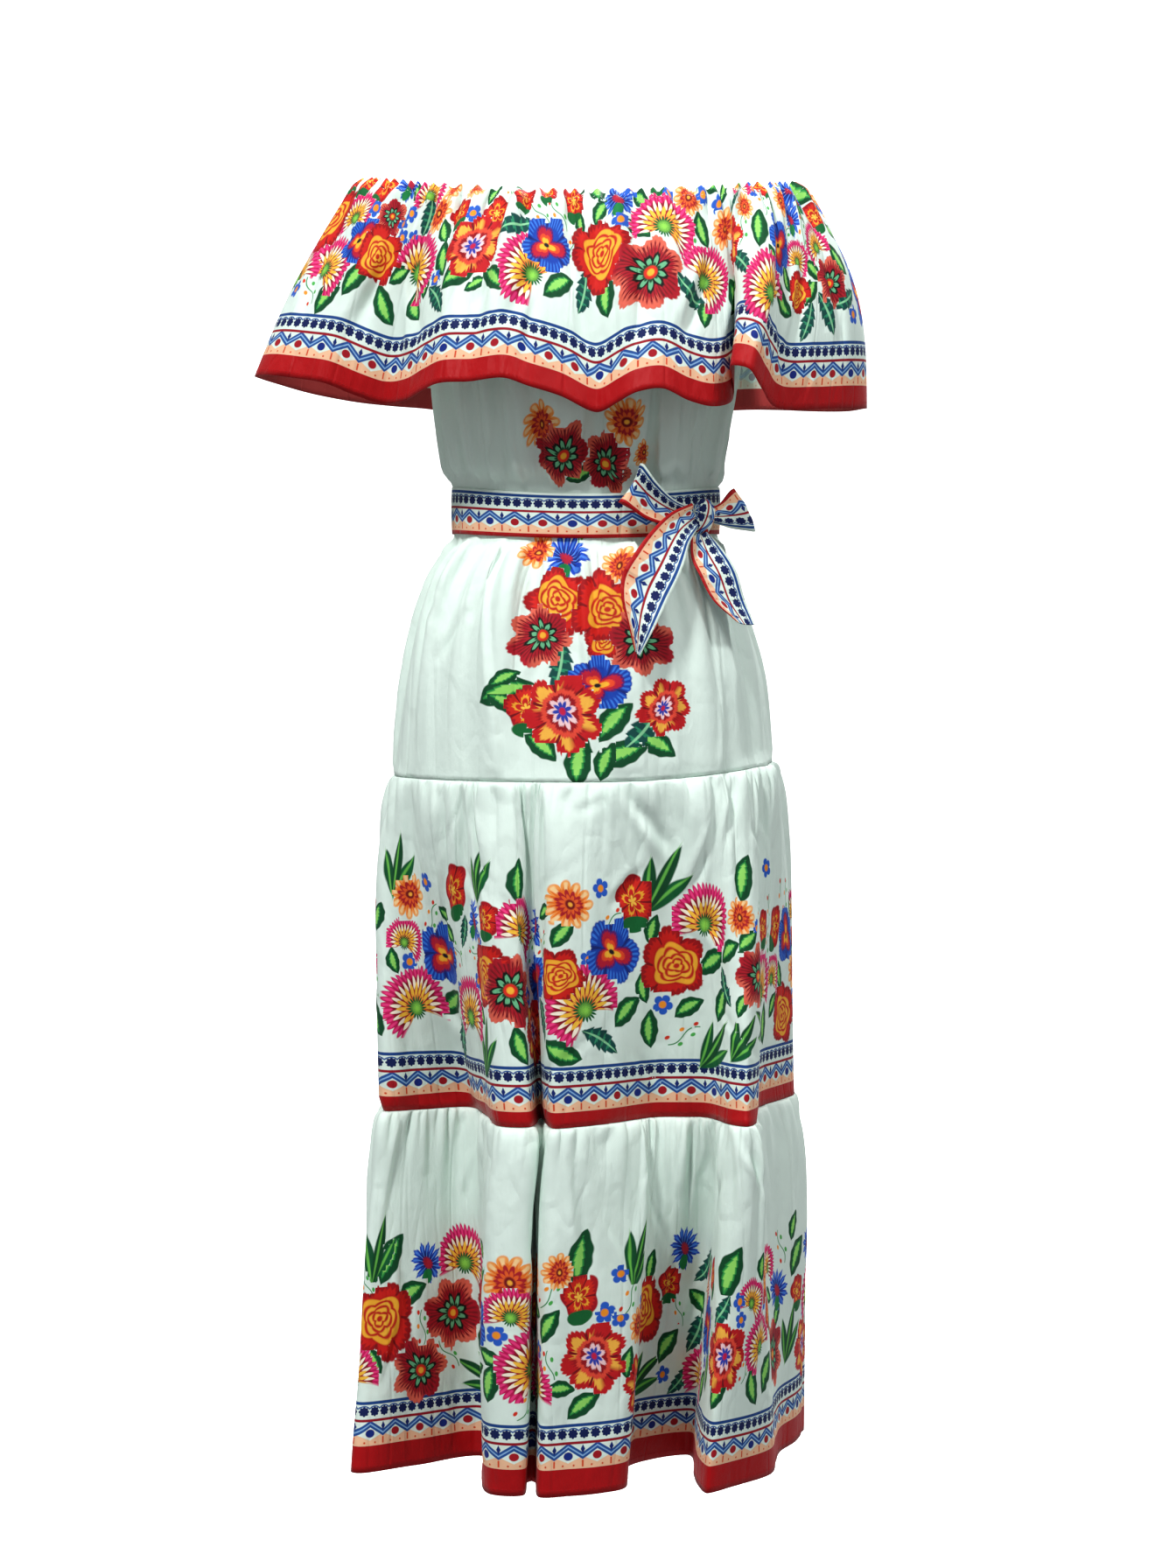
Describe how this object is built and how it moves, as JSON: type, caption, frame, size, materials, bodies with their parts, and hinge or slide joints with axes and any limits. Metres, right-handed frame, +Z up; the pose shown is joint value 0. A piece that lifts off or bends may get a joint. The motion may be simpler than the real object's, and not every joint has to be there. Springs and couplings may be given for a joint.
{
  "type": "off-shoulder tiered dress",
  "caption": "White off-shoulder maxi dress with a gathered neck ruffle, tiered skirt, flower print, striped borders and a sash belt in a bow.",
  "frame": {"origin": "middle of the elastic neckline ring, halfway up between its lowest point in front and its highest at the side", "axes": "+Z up, along the dress from hem to neckline; the front faces -Y; +X to the viewer's right"},
  "size_m": [0.5545, 0.3466, 1.1561],
  "materials": {
    "printed_cloth": "matte woven, soft sheen",
    "border_cloth": "matte woven, soft sheen"
  },
  "bodies": {
    "root": {"body_front": "printed_cloth", "body_back": "printed_cloth", "ruffle_front": "printed_cloth", "ruffle_back": "printed_cloth", "upper_tier_front": "printed_cloth", "upper_tier_back": "printed_cloth", "lower_tier_front": "printed_cloth", "lower_tier_back": "printed_cloth", "belt_band": "border_cloth", "bow_knot": "border_cloth", "bow_loop_left": "border_cloth", "bow_loop_right": "border_cloth", "bow_tail_left": "border_cloth", "bow_tail_right": "border_cloth"}
  },
  "joints": []
}
